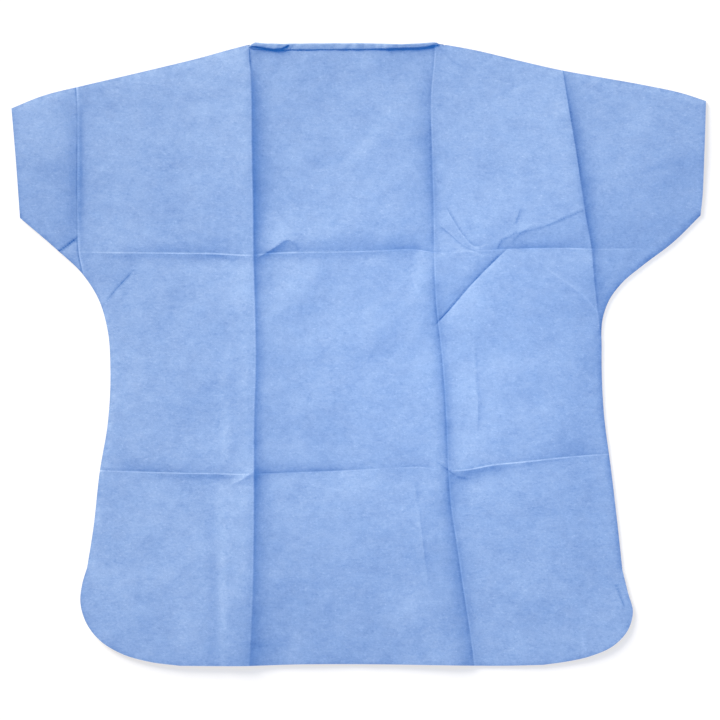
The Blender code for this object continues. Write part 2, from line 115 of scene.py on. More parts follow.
def even(x, y, height, left_reach, right_reach=3.0, turn=3.0):
    """A row of a fold that is equally high on both hands."""
    return Row(x, y, height, height, left_reach, right_reach, turn)


# The cut edge of the back, clockwise from the left end of the neck, corner to corner, as x and y.
# Runs that are sewn join the front to the back, and the others are open.
OUTLINE = (
    Run("neck", False, (NECK_LEFT, NECK_RIGHT)),
    Run("right shoulder", True, (
        NECK_RIGHT, (138.5, 365), (193.5, 351.9), (240.5, 341.2), (289.5, 332.3), (344.9, 322.4),
        (390.5, 312.4), (416.6, 303.8))),
    Run("right sleeve opening", False, (
        (416.6, 303.8), (414.5, 240), (412, 185), (410, 166.5))),
    Run("right underarm and side", True, (
        (410, 166.5), (377.5, 134.6), (339.8, 105.8), (316.8, 86.6), (301, 66), (292.9, 44),
        (291.4, 5), (294, -70), (302.8, -139), (311.2, -211), (316.3, -259))),
    Run("right tail", False, (
        (316.3, -259), (323, -286), (328.8, -309.4), (323.3, -330), (307, -348.5), (277.7, -362.2),
        (250, -368.5), (221, -372.6))),
    Run("hem", False, (
        (221, -372.6), (180, -373.6), (90, -372.8), (20, -371.9), (-70, -372), (-135, -373.8),
        (-214, -373.6))),
    Run("left tail", False, (
        (-214, -373.6), (-250, -369), (-287, -358), (-310.7, -343), (-325.8, -324), (-333.9, -297),
        (-331.8, -276), (-325.9, -256))),
    Run("left side and underarm", True, (
        (-325.9, -256), (-318.7, -211), (-310.5, -139), (-301.4, -85), (-297.9, -20), (-301.3, 29),
        (-311.7, 65), (-331.3, 96.2), (-362.2, 125.5), (-406.3, 163.4))),
    Run("left sleeve opening", False, (
        (-406.3, 163.4), (-411.1, 230.6), (-416.6, 295))),
    Run("left shoulder", True, (
        (-416.6, 295), (-381.1, 309.3), (-329.5, 322.4), (-284, 333), (-238.3, 343.8),
        (-190.5, 355.5), (-155.5, 365.2), NECK_LEFT)),
)

# The folds that the imported solids have too, tuned a little further. Each runs from the hem to the
# neck, or from left to right. A crest is a sharp line: left is the height of the cloth beside it on
# its left hand, above the cloth round it, which fades out over the left reach. On its right hand it
# turns to the right height over the turn, and that fades out over the right reach. The line itself
# lies lower than left by the shoulder, which fades out over its own reach, and a lip is a narrow
# ridge along it. A fold without a crest is smooth, and has no turn. The lines are thin painted
# shade and painted highlights in the cloth's colour beside the crest, which stand in for the light
# and
# shade of its sharp edges: their side is how far they lie on the crest's left hand, and dark is
# above zero where they are painted shade and below zero where they are painted highlight.
FOLDS = (
    Fold("left sleeve crease", (
        Row(-329, 92, -0.8, -1.4, 5, 30, 5, 0.3), Row(-335, 120, -1.5, -2.8, 6, 40, 5, 0.5),
        Row(-336.6, 160, -2.4, -5, 7, 50, 5.5, 1.3), Row(-336.6, 190, -2.8, -5.5, 7, 50, 5.5, 1.5),
        Row(-336.6, 245, -2.2, -5.4, 7, 50, 6.5, 0.9),
        Row(-336.8, 293, -1.9, -4.9, 5, 45, 4.5, 0.9), Row(-339, 330, -1.8, -2.6, 7, 30, 4, 0.3)),
        (Line(1.2, 0.36), Line(0, -0.4))),
    Fold("left body crease", (
        Row(-132, -382, 3.6, -1.8, 90, 80, 20, 0, 0.8, 5),
        Row(-129.5, -343, 3.9, -1.8, 80, 80, 17, 0, 0.9, 5),
        Row(-126.7, -271, 3.2, -0.7, 70, 80, 9.5, 0.25, 1, 4),
        Row(-125.5, -187, 2.9, -0.4, 60, 60, 7.5, 0.2, 0.6),
        Row(-125.5, -139, 2.9, -0.1, 50, 50, 6, 0.15, 0.4),
        Row(-125.2, -79, 2.4, -0.3, 45, 80, 5.4, 0.1, 0.6, 4),
        Row(-123.3, -7, 2.6, -0.5, 45, 60, 6.5, 0.1, 0.7, 5),
        Row(-124.5, 65, 2.7, -0.1, 50, 50, 4.5, 0.15, 0.6, 4),
        Row(-126, 119, 2.8, 0, 40, 50, 5, 0, 0.5), Row(-126.5, 173, 4.2, -1, 50, 60, 8, 0, 0.4, 2),
        Row(-128, 245, 4.7, -1.1, 60, 60, 10, 0, 0.4, 2),
        Row(-128.9, 317, 4.9, -1.1, 60, 60, 8, 0, 0.8),
        Row(-130.5, 350, 4.6, -0.6, 60, 50, 7, 0, 1.2, 3.5),
        Row(-131.5, 380, 2.6, 0, 40, 40, 7, 0, 0.6, 3.5)), (Line(-1, 0.06), Line(1.1, -0.08))),
    Fold("right body crease", (
        Row(139, -382, -2.2, -4.4, 7, 70, 8), Row(134, -343, -3, -5.4, 9, 70, 6),
        Row(123, -271, -3, -5.5, 9, 70, 6), Row(116, -223, -2.2, -3.9, 7, 70, 5),
        Row(110.4, -187, -1.9, -3.1, 5, 60, 3.6), Row(106.5, -139, -1, -2.6, 3.5, 60, 4.5),
        Row(104.2, -79, -1.3, -4, 3.2, 50, 5), Row(99.4, -7, -2.2, -4.8, 6.4, 60, 6),
        Row(91.7, 65, -1.3, -3.2, 4, 60, 5), Row(89.5, 122, -1.1, -1.5, 5, 50, 4),
        Row(89, 173, -1.7, -4.2, 4.5, 60, 6.5), Row(87, 245, -2.8, -3.6, 7.5, 90, 2.4),
        Row(86.4, 317, -2.8, -3.6, 12, 100, 3.5), Row(90, 355, -1.8, -2.2, 10, 80),
        Row(91, 380, -1.2, -1.4, 8, 80)), (Line(0, 0.20), Line(-1.3, -0.2))),
    Fold("right sleeve crease", (
        Row(290, 30, 1.2, 0, 34, 30, 4.5), Row(284, 80, 2.1, 0, 44, 30, 5, 0, 0.3, 2.5),
        Row(278.2, 137, 2.9, 0, 54, 30, 4.6, 0, 0.4, 2.5),
        Row(273.6, 161, 3.5, -0.4, 56, 60, 6, 0, 0.8, 2.2),
        Row(269.9, 185, 3.9, -0.9, 58, 60, 8, 0, 0.9, 2.4),
        Row(260.9, 245, 4.2, -1.4, 54, 60, 8, 0, 1, 3.4),
        Row(252.9, 293, 3.5, -1.1, 48, 60, 5.4, 0, 0.8, 2.6),
        Row(244.6, 345, 2, 0, 50, 40, 4.5, 0, 0.4, 2.5)), (Line(0, 0.34), Line(1.5, -0.06))),
    Fold("upper crease", (
        Row(-340, 122, 0.1, -0.4, 20, 30, 6, 0.2), Row(-298, 121, 0, -0.9, 20, 40, 8, 0.5),
        Row(-274, 120.8, -1.3, -2.4, 7.5, 50, 7, 0.8),
        Row(-214, 120.1, -2.1, -3.6, 8.8, 50, 8, 0.85),
        Row(-166, 119.3, -1.8, -3.7, 11.2, 45, 5, 0.8), Row(-145, 118, -0.8, -2.8, 8.8, 40, 5, 0.4),
        Row(-127, 117.8, 0, -0.6, 7, 30, 5), Row(-106, 119.9, -1.6, -2.2, 8, 40, 5, 0.2),
        Row(-82, 120.9, -0.7, -1.6, 6, 50, 6, 0.55), Row(-46, 121.2, -0.3, -0.4, 6, 40, 4, 0.5),
        Row(-10, 121.8, -0.5, -0.6, 6.2, 40, 4, 0.5), Row(25, 123, -1.2, -1.2, 4.4, 50, 4, 0.7),
        Row(70, 123.9, -2, -1.8, 6.2, 50, 6, 0.5), Row(90, 120.9, -0.8, -0.4, 6.2, 30, 5),
        Row(128, 121.9, 0.1, 0, 7, 30, 5, 0.25), Row(165, 124, -1.3, -0.9, 7.5, 25, 5, 0.35),
        Row(205, 125.6, -2.4, -1.9, 6, 25, 4, 0.5), Row(253, 125.8, -1.8, -1.9, 6.2, 25, 5, 0.75),
        Row(280, 125, -0.9, -0.7, 7.5, 25, 5, 0.35), Row(338, 125.4, -0.2, -0.2, 6, 25, 5, 0.15)),
        (Line(0.9, -0.37), Line(2.2, 0.12))),
    Fold("lower crease", (
        Row(-318, -140.4, -1.6, -1.4, 11.2, 40, 4, 0.2),
        Row(-274, -141.8, -2.9, -3, 8.8, 50, 6, 0.6),
        Row(-214, -143.6, -1.3, -2.8, 7.5, 50, 7, 0.7),
        Row(-166, -144.2, -1.2, -3.2, 8.8, 45, 6, 0.6),
        Row(-145, -144.8, -0.8, -2.1, 8.8, 40, 6, 0.3), Row(-126, -144.8, 0, -0.4, 7, 30, 5),
        Row(-106, -144.3, -1.8, -1.8, 8.5, 40, 5, 0.1),
        Row(-82, -143.2, -1.9, -1.8, 8, 45, 3, 0.35), Row(-34, -141.6, -1.8, -1.6, 8, 50, 3, 0.3),
        Row(26, -138.6, -0.4, -0.4, 6, 40, 4, 0.2), Row(74, -136.6, -0.7, -0.9, 9, 40, 5, 0.1),
        even(107, -140.4, 0, 7, 30, 5), Row(128, -139.6, 0.3, -2.6, 30, 50, 7, 0.1),
        Row(158, -134.2, 0.1, -2.2, 20, 50, 8, 0.4), Row(194, -130.4, -0.8, -1.4, 8.8, 50, 7, 0.7),
        Row(265, -123.2, -1.6, -1.6, 8.8, 50, 4, 0.6), Row(308, -120.4, -0.9, -0.9, 8, 40, 4, 0.2)),
        (Line(0.9, -0.28), Line(2.2, 0.14))),
    Fold("slanted pull", (
        even(92, 36, -0.2, 5, 6, 6), even(108, 53, -1.2, 7, 9, 6),
        even(133.7, 83, -1.35, 7, 10, 6), even(160, 110, -1.2, 7, 8, 6),
        even(178, 127, -0.2, 5, 6, 6)), (Line(0, 0.6), Line(-1.4, -0.06))),
    Fold("swell over the upper crease", (
        even(-112, 128, 0.2, 14, 10), even(-85, 135, 0.9, 26, 12), even(-45, 142, 1.8, 40, 18),
        even(0, 147, 2.1, 46, 24), even(50, 149, 1.8, 46, 26),
        even(84, 150, 0.7, 36, 26)), crest=False),
    Fold("swell under the upper crease", (
        even(-108, 30, 0.1, 20, 16), even(-92, 46, 0.9, 24, 18), even(-72, 68, 1.2, 24, 18),
        even(-58, 92, 1, 22, 18), even(-50, 112, 0.2, 16, 14)), crest=False),
    Fold("left sleeve swell", (
        even(-382, 60, 0, 30, 40), even(-372, 130, 0.3, 40, 42), even(-372, 190, 1.1, 45, 45),
        even(-374, 250, 1.2, 45, 45), even(-378, 310, 0.4, 40, 40)), crest=False),
    Fold("lower middle swell", (
        even(80, -150, 0, 60, 34), even(86, -240, 0.7, 60, 40), even(92, -330, 1.1, 60, 46),
        even(96, -382, 0.6, 60, 46)), crest=False),
)

# Finer folds, which only the cloth itself has
WRINKLES = (
    Fold("left underarm pull", (
        even(-309, 56, 0.1, 4), even(-290, 79, -0.35, 4), even(-266, 105, 0, 4)),
        (Line(0, 0.36),)),
    Fold("left sleeve nick", (
        even(-362, 122, -0.6, 4), even(-349, 131, -1.2, 4), even(-337, 141, -0.2, 4)),
        (Line(0, 0.75),)),
    Fold("right underarm arc", (
        even(220, 107, 0, 3), even(239, 93, 0.35, 4), even(256, 81, 0.5, 4),
        even(272, 68, 0.5, 4), even(286, 50, 0.2, 4)), (Line(0, -0.16),)),
    Fold("right underarm fan, upper", (
        even(166, 124, 0, 3), even(170, 134, 0.25, 3), even(184, 143, 0.25, 3),
        even(215, 151, 0.2, 3), even(268, 172, 0.1, 3)), (Line(0, 0.3),)),
    Fold("right underarm fan, lower", (
        even(180, 131, 0, 3, 2, 2), even(200, 149, 0.35, 3, 2, 2), even(224, 155, 0, 3, 2, 2)),
        (Line(0, 0.25),)),
    Fold("right body tuck", (
        even(189, 159, 0.1, 2, 2, 2), even(191, 165, 0.3, 2, 2, 2), even(195, 178, 0, 2, 2, 2)),
        (Line(0, 0.25),)),
    Fold("smile, upper", (
        even(103, 180, 0, 5), even(114, 161, -0.6, 5), even(126, 143, -0.8, 5),
        even(140, 130, -0.6, 5), even(156, 134, 0, 4)), (Line(0, 0.22), Line(-1.3, -0.1))),
    Fold("smile, lower", (
        even(92, 158, 0, 4), even(109, 144, -0.5, 5), even(124, 131, -0.8, 5),
        even(135, 125, -0.6, 4), even(160, 121, 0, 4)), (Line(0, 0.28), Line(1.3, -0.06))),
    Fold("corner pinch, left", (
        even(-120, 116, 0.4, 5, 4, 4), even(-100, 128, 1.2, 9), even(-84, 137, 1.2, 12),
        even(-76, 131, 0.8, 7), even(-72, 121, 0.1, 5)), (Line(0, 0.18),)),
    Fold("corner pinch, lower left", (
        even(-126, -140, 0.4, 5, 4, 4), even(-140, -150, 0.9, 6, 4, 4),
        even(-156, -156, 0, 5, 4, 4)), (Line(0, -0.18),)),
    Fold("corner pinch, lower right", (
        even(92, -128, 0, 4, 4, 4), even(103, -136, 0.7, 4, 4, 4), even(118, -146, 0.8, 4, 4, 4),
        even(136, -150, 0, 4, 4, 4)), (Line(0, 0.3),)),
    Fold("right body ripple", (
        even(140.5, 22, 0, 3), even(142, -30, 0.4, 3), even(143.3, -72, 0.5, 3),
        even(142.5, -95, 0, 3)), (Line(0, 0.14),)),
    Fold("middle ripple", (
        even(68, -148, 0, 4), even(73, -190, 0.4, 4), even(79, -240, 0.4, 4),
        even(84, -275, 0, 4)), (Line(0, 0.1),)),
    Fold("slanted middle swell", (
        even(-80, -139, 0, 34, 50), even(-49, -85, 1.2, 36, 54), even(-25, -49, 1.7, 36, 56),
        even(-1, -7, 1.7, 36, 54), even(20, 35, 1.2, 34, 44),
        even(40, 76, 0, 30, 30)), crest=False),
    Fold("middle band, left edge", (
        even(-157, 20, 0, 7, 6), even(-158, -40, 0.5, 8, 6), even(-156, -110, 0.6, 8, 6),
        even(-160, -138, 0, 7, 6)), crest=False),
    Fold("lower band, left edge", (
        even(-172, -150, 0, 5, 8), even(-170, -210, -0.7, 6, 9), even(-168, -290, -0.8, 6, 9),
        even(-166, -375, -0.6, 6, 9)), crest=False),
    Fold("vent slit", (
        Row(309.6, -278, 0.1, -0.2, 3, 3, 1), Row(312.5, -288, 0.5, -0.8, 3, 3, 1),
        Row(318, -301, 0.1, -0.2, 3, 3, 1)), (Line(0, 0.4),)),
    Fold("right neck pull", (
        even(98, 366, 0.1, 5, 4, 4), even(112, 352, -0.2, 6, 4, 4), even(130, 342, 0, 5, 4, 4)),
        (Line(0, 0.14),)),
    Fold("left neck pull", (
        even(-129.4, 338, 0, 3), even(-130.4, 352, -0.5, 3), even(-131.2, 366, -0.9, 3)),
        (Line(0, 0.5),)),
    Fold("right shoulder ripple", (
        even(168, 308, 0, 4), even(191, 321, -0.35, 4), even(216, 331, 0, 4))),
    Fold("left tail roll", (
        even(-290, -196, 0, 16, 12), even(-245, -222, 0.6, 20, 14),
        even(-205, -236, 0, 16, 12)), crest=False),
    Fold("left tail ripple", (
        even(-292, -270, 0, 10, 9), even(-266, -318, 0.7, 13, 10),
        even(-244, -352, 0.2, 10, 9)), crest=False),
    Fold("middle swell", (
        even(-12, -200, 0, 16, 14), even(30, -214, 0.6, 20, 16),
        even(72, -240, 0, 14, 14)), crest=False),
    Fold("middle dip", (
        even(20, 30, 0, 30, 26), even(-20, -20, -0.7, 38, 30),
        even(-70, -60, 0, 30, 26)), crest=False),
)

# Random waves: their size, their height and their seed
Waves = namedtuple("Waves", "cell height seed")
UNEVENNESS = (Waves(95.0, 0.75, 11), Waves(38.0, 0.40, 12), Waves(15.0, 0.14, 13),
              Waves(6.5, 0.035, 14))
EDGE_WAVES = Waves(42.0, 0.6, 21)
PUCKERS = Waves(9.0, 0.22, 22)
FRONT_UNEVENNESS = Waves(60.0, 0.125, 31)
FRONT_EDGE_WAVES = Waves(42.0, 0.5, 32)
# Random waves in the strength of the painted shade and highlights
PAINTED_SHADE_UNEVENNESS = Waves(14.0, 0.45, 41)
FIELD_LOW = (-520.0, -480.0)
FIELD_HIGH = (520.0, 480.0)


def curve_through(rows, step):
    """A smooth curve through the first two columns, with the other columns carried along it."""
    rows = np.asarray(rows, dtype=float)
    chords = np.linalg.norm(np.diff(rows[:, :2], axis=0), axis=1)
    stations = np.concatenate([[0.0], np.cumsum(chords)])
    slopes = np.gradient(rows[:, :2], stations, axis=0)
    drawn = []
    for index, chord in enumerate(chords):
        pieces = max(1, round(chord / step))
        t = (np.arange(pieces + (index == len(chords) - 1)) / pieces)[:, None]
        ends = rows[index, :2], rows[index + 1, :2]
        leads = slopes[index] * chord, slopes[index + 1] * chord
        place = ((2 * t**3 - 3 * t**2 + 1) * ends[0] + (t**3 - 2 * t**2 + t) * leads[0]
                 + (3 * t**2 - 2 * t**3) * ends[1] + (t**3 - t**2) * leads[1])
        carried = (1 - t) * rows[index, 2:] + t * rows[index + 1, 2:]
        drawn.append(np.hstack([place, carried]))
    return np.vstack(drawn)


CHUNK = 6000


def distances_along(places):
    """How far along a line of points each of them lies."""
    return np.concatenate([[0.0], np.cumsum(np.linalg.norm(np.diff(places, axis=0), axis=1))])


def left_hand(run):
    """Unit vectors square to the given ones, on their left hand."""
    return np.column_stack([-run[:, 1], run[:, 0]]) / np.linalg.norm(run, axis=1)[:, None]


def are_round(path, points, span):
    """Whether each point lies in the box round a path, widened by a span."""
    low = path[:, :2].min(axis=0) - span
    high = path[:, :2].max(axis=0) + span
    return np.all((points > low) & (points < high), axis=1)


def nearest_on(path, points):
    """For each point: its distance to the path, its signed side, and the path's columns there.

    The side is above zero on the left hand as the path runs, and is the distance off its line.
    """
    start = path[:-1, :2]
    run = np.diff(path[:, :2], axis=0)
    length = np.linalg.norm(run, axis=1)
    distances, sides, columns = [], [], []
    for first in range(0, len(points), CHUNK):
        some = points[first:first + CHUNK]
        offset = some[:, None, :] - start[None, :, :]
        along = np.clip((offset * run).sum(axis=2) / length**2, 0.0, 1.0)
        gap = offset - along[:, :, None] * run
        squared = (gap**2).sum(axis=2)
        closest = squared.argmin(axis=1)
        pick = np.arange(len(some)), closest
        turned = run[closest, 0] * gap[pick][:, 1] - run[closest, 1] * gap[pick][:, 0]
        share = along[pick][:, None]
        distances.append(np.sqrt(squared[pick]))
        sides.append(turned / length[closest])
        columns.append((1 - share) * path[closest, 2:] + share * path[closest + 1, 2:])
    return np.concatenate(distances), np.concatenate(sides), np.vstack(columns)


FADES_IN = 5.0
# Painted shade and highlights beside creases: their width, the share of a fold's greatest depth at
# which they are full, and how far round a crease they are worked out
PAINTED_LINE_REACH = 0.75
PAINTED_LINE_FULL_DEPTH = 0.45
PAINTED_LINE_NEAR = 4.0
# Painted shade along every cut edge: how dark it is, and how wide
PAINTED_EDGE_SHADE = 0.14
PAINTED_EDGE_SHADE_REACH = 1.0
LIP_REACH = 1.5
LIP_SHARE = 0.45
EASE = 1.2
ROUNDING = 0.4


def fold_height(fold, points):
    """How far a fold lifts or lowers the cloth at each point."""
    path = curve_through(fold.rows, DRAWN_STEP)
    near = are_round(path, points, path[:, 4:6].max() * FADES_IN)
    heights = np.zeros(len(points))
    if not near.any():
        return heights
    distance, side, columns = nearest_on(path, points[near])
    left, right, left_reach, right_reach, turn, lip, shoulder, shoulder_reach = columns.T
    if fold.crest:
        gap = np.sqrt(distance**2 + ROUNDING**2) - ROUNDING
        on_left = left * np.exp(-gap / left_reach) - shoulder * np.exp(-gap / shoulder_reach)
        step = (left - shoulder - right) * np.exp(-gap / turn)
        on_right = right * np.exp(-gap / right_reach) + step
    else:
        on_left = left * np.exp(-(distance / left_reach)**2)
        on_right = right * np.exp(-(distance / right_reach)**2)
    heights[near] = np.where(side > 0.0, on_left, on_right)
    heights[near] += LIP_SHARE * lip * np.exp(-(distance / LIP_REACH)**2)
    return heights


def painted_shade_and_highlights(points):
    """Painted shade at each point by the creases and edges, and below zero painted highlight."""
    # Painted shade along every cut edge
    edge = np.minimum(*edge_distances(points))
    painted_shade = PAINTED_EDGE_SHADE * np.exp(-(edge / PAINTED_EDGE_SHADE_REACH)**2)
    for fold in FOLDS + WRINKLES:
        if fold.lines:
            path = curve_through(fold.rows, DRAWN_STEP)
            near = are_round(path, points, PAINTED_LINE_NEAR)
            distance, side, columns = nearest_on(path, points[near])
            depth = np.abs(columns[:, :2]).sum(axis=1) + columns[:, 5]
            line_strength = np.clip(depth / (PAINTED_LINE_FULL_DEPTH * depth.max()), 0.0, 1.0)
            beside = np.copysign(distance, side)
            for line in fold.lines:
                gap = (beside - line.side) / PAINTED_LINE_REACH
                painted_shade[near] += line.dark * line_strength * np.exp(-gap**2)
    return painted_shade * (1.0 + wave_height(points, PAINTED_SHADE_UNEVENNESS))


def smooth_noise(points, cell, seed):
    """Smooth random values from -1 to 1, whose waves are about one cell across."""
    low = np.array(FIELD_LOW)
    counts = ((np.array(FIELD_HIGH) - low) / cell).astype(int) + 3
    lattice = np.random.default_rng(seed).uniform(-1.0, 1.0, counts)
    place = (points - low) / cell
    base = np.floor(place).astype(int)
    t = place - base
    t = t * t * (3.0 - 2.0 * t)
    x, y = base.T
    lower = lattice[x, y] * (1 - t[:, 0]) + lattice[x + 1, y] * t[:, 0]
    upper = lattice[x, y + 1] * (1 - t[:, 0]) + lattice[x + 1, y + 1] * t[:, 0]
    return lower * (1 - t[:, 1]) + upper * t[:, 1]


def wave_height(points, waves):
    """How far random waves lift or lower each point."""
    return waves.height * smooth_noise(points, waves.cell, waves.seed)


def closed_outline(step):
    """The whole outline as one loop of points, with each corner once."""
    return np.vstack([curve_through(run.knots, step)[:-1] for run in OUTLINE])


def edge_distances(points):
    """How far each point lies from the nearest sewn run, and from the nearest open one."""
    return [np.min([nearest_on(curve_through(run.knots, DRAWN_STEP), points)[0]
                    for run in OUTLINE if run.sewn == sewn], axis=0) for sewn in (True, False)]


def inside_v(points):
    """How deep each point lies inside the V of the front neck, below zero outside it."""
    depths = []
    for corner, hand in ((NECK_LEFT, 1.0), (NECK_RIGHT, -1.0)):
        run = np.subtract(corner, V_POINT)
        gap = points - np.array(V_POINT)
        depths.append(-hand * (run[0] * gap[:, 1] - run[1] * gap[:, 0]) / np.linalg.norm(run))
    return np.minimum(*depths)


def at_neck_corners(points):
    """How near each point is to an end of the neck, from 0 to 1."""
    gaps = np.min([np.linalg.norm(points - corner, axis=1)
                   for corner in (NECK_LEFT, NECK_RIGHT)], axis=0)
    return np.exp(-(gaps / CORNER_BULK_REACH)**2)


def kept_up(lift):
    """The lift where it is above zero, eased in to nothing where it isn't."""
    return (lift + np.sqrt(lift**2 + EASE**2)) / 2


def back_underside(points):
    """Height of the lower side of the back's cloth above the floor."""
    to_seam, to_open = edge_distances(points)
    free = 1.0 - np.exp(-to_seam / LOFT_REACH)
    drop = (LOFT_INSIDE - LOFT_AT_OPEN_EDGE) * np.exp(-to_open / OPEN_EDGE_REACH)
    sag = V_SAG / (1.0 + np.exp(-inside_v(points) / V_SAG_REACH))
    lift = free * (LOFT_INSIDE - drop - sag)
    share = FOLD_AT_SEAM + (1.0 - FOLD_AT_SEAM) * free
    lift += sum(fold_height(fold, points) for fold in FOLDS + WRINKLES) * share
    for waves in UNEVENNESS:
        lift += wave_height(points, waves) * free
    lift += wave_height(points, EDGE_WAVES) * np.exp(-to_open / EDGE_WAVE_REACH) * free
    lift += wave_height(points, PUCKERS) * np.exp(-to_seam / PUCKER_REACH)
    lift += CORNER_BULK * at_neck_corners(points)
    rolled = np.clip(1.0 - to_seam / SEAM_ROLL, 0.0, 1.0)
    return CLOTH + SEAM_STACK + kept_up(lift) - SEAM_ROLL_DROP * rolled**2


def front_underside(points):
    """Height of the lower side of the front's cloth above the floor."""
    to_seam, to_open = edge_distances(points)
    ridges = np.maximum(0.0, sum(fold_height(fold, points) for fold in FOLDS))
    lift = FRONT_FOLD_SHARE * ridges * (1.0 - np.exp(-to_seam / LOFT_REACH))
    lift += FRONT_UNEVENNESS.height + wave_height(points, FRONT_UNEVENNESS)
    edge_waves = np.maximum(0.0, wave_height(points, FRONT_EDGE_WAVES))
    lift += edge_waves * np.exp(-to_open / EDGE_WAVE_REACH)
    lift += FRONT_V_RISE * np.exp(-np.abs(inside_v(points)) / FRONT_V_REACH)
    rolled = np.clip(1.0 - to_seam / SEAM_ROLL, 0.0, 1.0)
    lift += SEAM_ROLL_DROP * rolled**2
    return np.minimum(lift, back_underside(points) - CLOTH - PLY_GAP)


def spaced(points, kept, gap):
    """Those points that lie at least the gap from every kept point and from each other."""
    cells = {}
    for x, y in kept:
        cells.setdefault((x // gap, y // gap), []).append((x, y))
    added = []
    for x, y in points:
        column = x // gap
        row = y // gap
        if not any((other[0] - x)**2 + (other[1] - y)**2 < gap * gap
                   for i in (-1, 0, 1) for j in (-1, 0, 1)
                   for other in cells.get((column + i, row + j), ())):
            cells.setdefault((column, row), []).append((x, y))
            added.append((x, y))
    return added


def flanks(path, offset):
    """Points beside a path on both sides, halfway between its own points."""
    middle = (path[:-1, :2] + path[1:, :2]) / 2
    normal = left_hand(np.diff(path[:, :2], axis=0))
    return np.vstack([middle + offset * normal, middle - offset * normal])


def moved_aside(path, side):
    """A path moved over to its left hand."""
    return path[:, :2] + side * left_hand(np.gradient(path[:, :2], axis=0))


def grid(loop, step):
    """A field of points in staggered rows over the box round a loop, none of them in line."""
    low = loop.min(axis=0)
    high = loop.max(axis=0)
    row_step = step * math.sqrt(3) / 2
    rows = []
    for index, y in enumerate(np.arange(low[1] + step / 2, high[1], row_step)):
        first = low[0] + step / 2 * (1 + index % 2)
        rows.append([(x, y) for x in np.arange(first, high[0], step)])
    field = np.vstack(rows)
    random = np.random.default_rng(GRID_SEED)
    return field + random.uniform(-GRID_SHIFT, GRID_SHIFT, field.shape) * step


def triangles_inside(loop, lines, loose):
    """Triangles that fill a loop, with edges along the lines and corners at the loose points."""
    coords = [Vector(point) for point in loop]
    face = list(range(len(coords)))
    edges = []
    for line in lines:
        first = len(coords)
        coords += [Vector(point[:2]) for point in line]
        edges += [(index, index + 1) for index in range(first, len(coords) - 1)]
    coords += [Vector(point) for point in loose]
    places, _, faces, *_ = delaunay_2d_cdt(coords, edges, [face], INSIDE_ONLY, SAME_PLACE)
    field = bmesh.new()
    corners = [field.verts.new((*place, 0.0)) for place in places]
    for chosen in faces:
        field.faces.new([corners[index] for index in chosen])
    bmesh.ops.delete(field, geom=[vert for vert in field.verts if not vert.link_faces])
    bmesh.ops.remove_doubles(field, verts=field.verts, dist=CLOSEST_POINTS)
    field.verts.index_update()
    places = np.array([vert.co[:2] for vert in field.verts])
    faces = [tuple(vert.index for vert in chosen.verts) for chosen in field.faces]
    field.free()
    return places, faces


def open_edges(faces):
    """The edges that only one face uses, in that face's order."""
    edges = set()
    for corners in faces:
        for edge in zip(corners, corners[1:] + corners[:1]):
            if edge[::-1] in edges:
                edges.remove(edge[::-1])
            else:
                edges.add(edge)
    return sorted(edges)


def add_piece(name, points, faces, material, replaced=()):
    """One piece of the garment, from points in millimetres."""
    mesh = bpy.data.meshes.new(name)
    mesh.from_pydata([Vector(point) * MM for point in points], [], faces)
    mesh.materials.append(material)
    mesh.shade_smooth()
    mesh.set_sharp_from_angle(angle=SHARP_ANGLE)
    piece = bpy.data.objects.new(name, mesh)
    bpy.context.collection.objects.link(piece)
    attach(piece, BODY)
    if replaced:
        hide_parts(*replaced)
    return piece


def add_shell(name, places, faces, under, thickness, material, replaced):
    """A closed sheet of cloth over a field of triangles whose lower side is given."""
    count = len(places)
    points = np.vstack([np.column_stack([places, under + thickness]),
                        np.column_stack([places, under])])
    polygons = faces + [tuple(index + count for index in reversed(corners)) for corners in faces]
    for first, second in open_edges(faces):
        polygons.append((second, first, first + count))
        polygons.append((second, first + count, second + count))
    return add_piece(name, points, polygons, material, replaced)


def meeting_point(start, run, other_start, other_run):
    """Where two straight lines cross."""
    share = np.linalg.solve(np.column_stack([run, -other_run]), other_start - start)[0]
    return start + share * run


def v_line(offset):
    """The V of the front neck moved outward: its left end on the shoulder, point and right end."""
    point = np.array(V_POINT)
    arms = []
    ends = []
    for hand, shoulder in ((1.0, OUTLINE[-1].knots[::-1]), (-1.0, OUTLINE[1].knots)):
        corner, next_knot = (np.array(knot) for knot in shoulder[:2])
        run = (corner - point) / np.linalg.norm(corner - point)
        start = point + offset * hand * np.array([-run[1], run[0]])
        arms.append((start, run))
        ends.append(meeting_point(start, run, corner, next_knot - corner))
    return np.array([ends[0], meeting_point(*arms[0], *arms[1]), ends[1]])


def inset(loop, distance):
    """A clockwise loop moved inward by a small distance."""
    return loop - distance * left_hand(np.roll(loop, -1, axis=0) - np.roll(loop, 1, axis=0))


def at_neck_edge(loop):
    """Which points of a loop lie on the straight back neck."""
    return loop[:, 1] > min(NECK_LEFT[1], NECK_RIGHT[1]) - NECK_SLACK


def panel_triangles(loop, folds, spacing):
    """The triangles of a panel, which have edges along its crests and its lines."""
    crests = [curve_through(fold.rows, spacing.crest_step)[:, :2] for fold in folds if fold.crest]
    lines = []
    if spacing.has_lines:
        lines = [moved_aside(curve_through(fold.rows, spacing.crest_step), line.side)
                 for fold in folds for line in fold.lines if line.side]
    loose = []
    fixed = np.vstack([loop, *crests, *lines])
    for offset in spacing.flanks:
        beside = np.vstack([flanks(crest, offset) for crest in crests])
        kept = np.vstack([fixed, *loose]) if loose else fixed
        loose += spaced(beside, kept, offset * FLANK_GAP)
    field = grid(loop, spacing.grid_step)
    loose += spaced(field, np.vstack([fixed, *loose]), spacing.grid_step * GRID_GAP)
    return triangles_inside(loop, crests + lines, loose)


